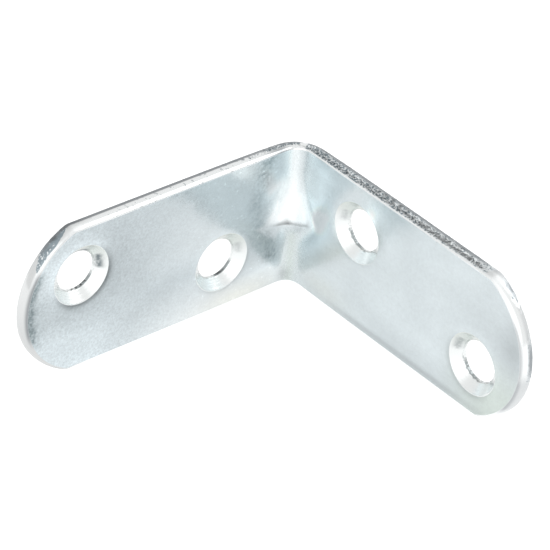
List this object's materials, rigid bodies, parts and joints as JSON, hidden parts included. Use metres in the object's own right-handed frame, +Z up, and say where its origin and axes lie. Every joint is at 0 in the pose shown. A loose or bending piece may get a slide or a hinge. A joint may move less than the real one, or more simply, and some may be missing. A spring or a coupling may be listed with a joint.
{
  "type": "corner brace",
  "caption": "Right-angle corner brace folded from one strip of zinc-plated steel, with rounded ends, staggered countersunk screw holes and a pressed gusset in the fold.",
  "frame": {"origin": "the sharp heel where the planes of the two outside faces meet, level with the lower long edge", "axes": "+Z up along the fold, +X along the right leg with its outside face facing +Y, and -Y along the left leg with its outside face facing -X"},
  "size_m": [0.04, 0.04, 0.019],
  "materials": {
    "zinc_plate": "bright zinc plate on cold-rolled sheet steel, half gloss, with sheared edges"
  },
  "bodies": {
    "root": {"corner_brace": "zinc_plate"}
  },
  "joints": []
}
